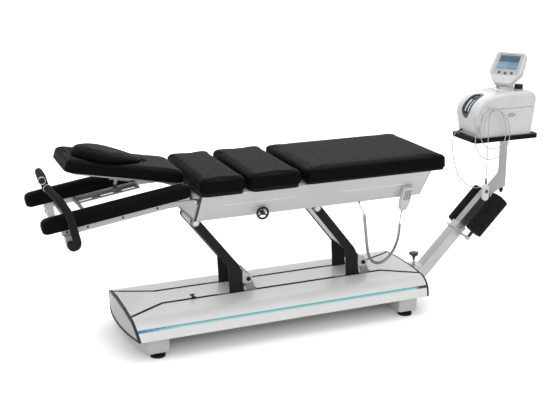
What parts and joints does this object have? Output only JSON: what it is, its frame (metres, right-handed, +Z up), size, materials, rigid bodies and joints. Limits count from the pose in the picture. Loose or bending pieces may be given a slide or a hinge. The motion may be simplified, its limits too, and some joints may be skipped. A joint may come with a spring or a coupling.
{
  "type": "traction table",
  "caption": "Padded treatment table on a parallel-arm lift, with a tilting head end and hinged armrests, and an inclined mast with a tray for a traction unit.",
  "frame": {"origin": "on the floor, in the plane of the levelling feet, under the middle of the overall length and width", "axes": "+X along the table from the head end to the traction unit, +Y to the left, +Z up"},
  "size_m": [2.9918, 0.8188, 1.4241],
  "materials": {
    "painted_white": "satin",
    "cap_white": "satin",
    "frame_grey": "satin",
    "arm_silver": "satin",
    "arm_black": "satin",
    "trim_black": "matt",
    "light_blue": "gloss",
    "bronze": "satin",
    "drive_grey": "matt",
    "bright_steel": "brushed",
    "foot_black": "matt",
    "mast_silver": "satin",
    "knob_black": "matt",
    "foam_black": "matt",
    "board": "matt",
    "vinyl_black": "satin",
    "tray_black": "gloss",
    "unit_white": "gloss",
    "panel_black": "gloss",
    "pulley_silver": "satin",
    "screen_glass": "gloss",
    "key_grey": "matt",
    "handset_white": "satin",
    "button_grey": "matt",
    "cord_grey": "matt",
    "cord_white": "matt"
  },
  "bodies": {
    "base": {"base_chassis": "frame_grey", "foot_beams": "cap_white", "levelling_feet": "foot_black", "side_covers": "painted_white", "top_cover": "painted_white", "base_end_caps": "cap_white", "base_gaskets": "trim_black", "light_strips": "light_blue", "pivot_bushes": "bronze", "lift_drive": "drive_grey", "mast_outer_tube": "mast_silver", "roller_fork": "mast_silver"},
    "cover_lever": {"cover_lever": "knob_black"},
    "right_roller": {"right_roller": "foam_black"},
    "left_roller": {"left_roller": "foam_black"},
    "clamp_knob": {"mast_clamp_knob": "knob_black"},
    "head_arm": {"head_lift_arm": "arm_silver", "head_arm_plates": "arm_black"},
    "foot_arm": {"foot_lift_arm": "arm_silver", "foot_arm_plates": "arm_black"},
    "lift_rod": {"lift_rod": "bright_steel"},
    "deck": {"side_rails": "painted_white", "deck_end_caps": "cap_white", "deck_trim": "trim_black", "deck_frame": "frame_grey", "deck_pins": "bright_steel", "cushion_boards": "board", "thoracic_cushions": "vinyl_black", "pendant": "handset_white", "pendant_cord": "cord_grey"},
    "lumbar": {"lumbar_carriage": "board", "lumbar_cushion": "vinyl_black"},
    "lock_wheel": {"lock_wheel": "knob_black"},
    "head": {"head_frame": "frame_grey", "head_cushion": "vinyl_black", "face_pillow": "vinyl_black"},
    "head_lever": {"head_lever": "knob_black"},
    "armrests": {"armrest_frame": "frame_grey", "armrest_pads": "vinyl_black", "hand_grips": "foam_black"},
    "mast": {"mast_inner_tube": "mast_silver", "tray": "tray_black", "unit_lower_shell": "unit_white", "unit_upper_shell": "unit_white", "unit_front_panel": "panel_black", "traction_drive": "bright_steel", "cord_hook": "bright_steel", "patient_switch": "handset_white", "switch_cord": "cord_white", "link_cable": "cord_white"},
    "post_knob": {"post_knob": "knob_black"},
    "pulley": {"front_pulley": "pulley_silver"},
    "switch_button": {"switch_button": "button_grey"},
    "neck": {"display_neck": "unit_white"},
    "display": {"display_shell": "unit_white", "display_screen": "screen_glass"},
    "key_left": {"display_key_left": "key_grey"},
    "key_middle": {"display_key_middle": "key_grey"},
    "key_right": {"display_key_right": "key_grey"},
    "unit_knob": {"unit_knob": "knob_black"}
  },
  "joints": [
    {"name": "lift", "type": "hinge", "parent": "base", "child": "head_arm", "pos_m": [-0.35614, 0, 0.288], "axis": [0, -1, 0], "range_deg": [0, 49.5], "deforming": ["pendant_cord"]},
    {"name": "deck_level", "type": "hinge", "parent": "head_arm", "child": "deck", "pos_m": [-0.65891, 0, 0.65529], "axis": [0, -1, 0], "range_deg": [-49.5, 0]},
    {"name": "foot_arm_swing", "type": "hinge", "parent": "base", "child": "foot_arm", "pos_m": [0.35486, 0, 0.288], "axis": [0, -1, 0], "range_deg": [0, 49.5]},
    {"name": "rod_eye", "type": "hinge", "parent": "head_arm", "child": "lift_rod", "pos_m": [-0.40693, 0, 0.19043], "axis": [0, -1, 0], "range_deg": [-49.5, 0]},
    {"name": "lumbar_slide", "type": "slide", "parent": "deck", "child": "lumbar", "axis": [1, 0, 0], "range_m": [0, 0.12]},
    {"name": "lock_wheel_turn", "type": "hinge", "parent": "deck", "child": "lock_wheel", "pos_m": [-0.31891, -0.22216, 0.70229], "axis": [0, -1, 0], "range_deg": [0, 270]},
    {"name": "head_tilt", "type": "hinge", "parent": "deck", "child": "head", "pos_m": [-0.70591, 0, 0.86229], "axis": [0, 1, 0], "range_deg": [-14, 12]},
    {"name": "head_release", "type": "hinge", "parent": "head", "child": "head_lever", "pos_m": [-1.05821, -0.04, 0.93136], "axis": [0, 1, 0], "range_deg": [0, 20], "stiffness_Nm_per_rad": 2},
    {"name": "armrest_tilt", "type": "hinge", "parent": "deck", "child": "armrests", "pos_m": [-0.70591, 0, 0.81529], "axis": [0, 1, 0], "range_deg": [-12, 1.5]},
    {"name": "mast_slide", "type": "slide", "parent": "base", "child": "mast", "axis": [0.7034, 0, 0.7108], "range_m": [-0.115, 0.1]},
    {"name": "right_roller_spin", "type": "hinge", "parent": "base", "child": "right_roller", "pos_m": [1.17726, -0.1, 0.47757], "axis": [0.7034, 0, 0.7108], "continuous": true},
    {"name": "left_roller_spin", "type": "hinge", "parent": "base", "child": "left_roller", "pos_m": [1.17726, 0.1, 0.47757], "axis": [0.7034, 0, 0.7108], "continuous": true},
    {"name": "clamp_knob_turn", "type": "hinge", "parent": "base", "child": "clamp_knob", "pos_m": [0.74286, 0, 0.246], "axis": [0, 0, 1], "range_deg": [0, 180]},
    {"name": "cover_lever_turn", "type": "hinge", "parent": "base", "child": "cover_lever", "pos_m": [-0.67691, -0.093, 0.23], "axis": [0, 0, 1], "range_deg": [0, 90]},
    {"name": "post_knob_turn", "type": "hinge", "parent": "mast", "child": "post_knob", "pos_m": [1.33986, 0, 0.6], "axis": [0, 0, 1], "range_deg": [0, 270]},
    {"name": "pulley_spin", "type": "hinge", "parent": "mast", "child": "pulley", "pos_m": [1.12986, 0, 1.114], "axis": [0, 1, 0], "continuous": true},
    {"name": "switch_press", "type": "slide", "parent": "mast", "child": "switch_button", "axis": [0, 1, 0], "range_m": [0, 0.0015], "stiffness_N_per_m": 600},
    {"name": "display_swivel", "type": "hinge", "parent": "mast", "child": "neck", "pos_m": [1.31986, 0, 1.22], "axis": [0, 0, 1], "range_deg": [-60, 90]},
    {"name": "display_tilt", "type": "hinge", "parent": "neck", "child": "display", "pos_m": [1.31986, 0, 1.244], "axis": [0.5736, -0.8192, 0], "range_deg": [-12, 20]},
    {"name": "key_left_press", "type": "slide", "parent": "display", "child": "key_left", "axis": [0.6087, 0.4262, -0.6691], "range_m": [0, 0.0015], "stiffness_N_per_m": 600},
    {"name": "key_middle_press", "type": "slide", "parent": "display", "child": "key_middle", "axis": [0.6087, 0.4262, -0.6691], "range_m": [0, 0.0015], "stiffness_N_per_m": 600},
    {"name": "key_right_press", "type": "slide", "parent": "display", "child": "key_right", "axis": [0.6087, 0.4262, -0.6691], "range_m": [0, 0.0015], "stiffness_N_per_m": 600},
    {"name": "unit_knob_turn", "type": "hinge", "parent": "mast", "child": "unit_knob", "pos_m": [1.42186, 0, 1.22], "axis": [0, 0, 1], "range_deg": [-150, 150]}
  ],
  "couplings": [
    {"joint": "deck_level", "follows": "lift", "ratio": -1},
    {"joint": "foot_arm_swing", "follows": "lift", "ratio": 1},
    {"joint": "rod_eye", "follows": "lift", "ratio": -1}
  ]
}
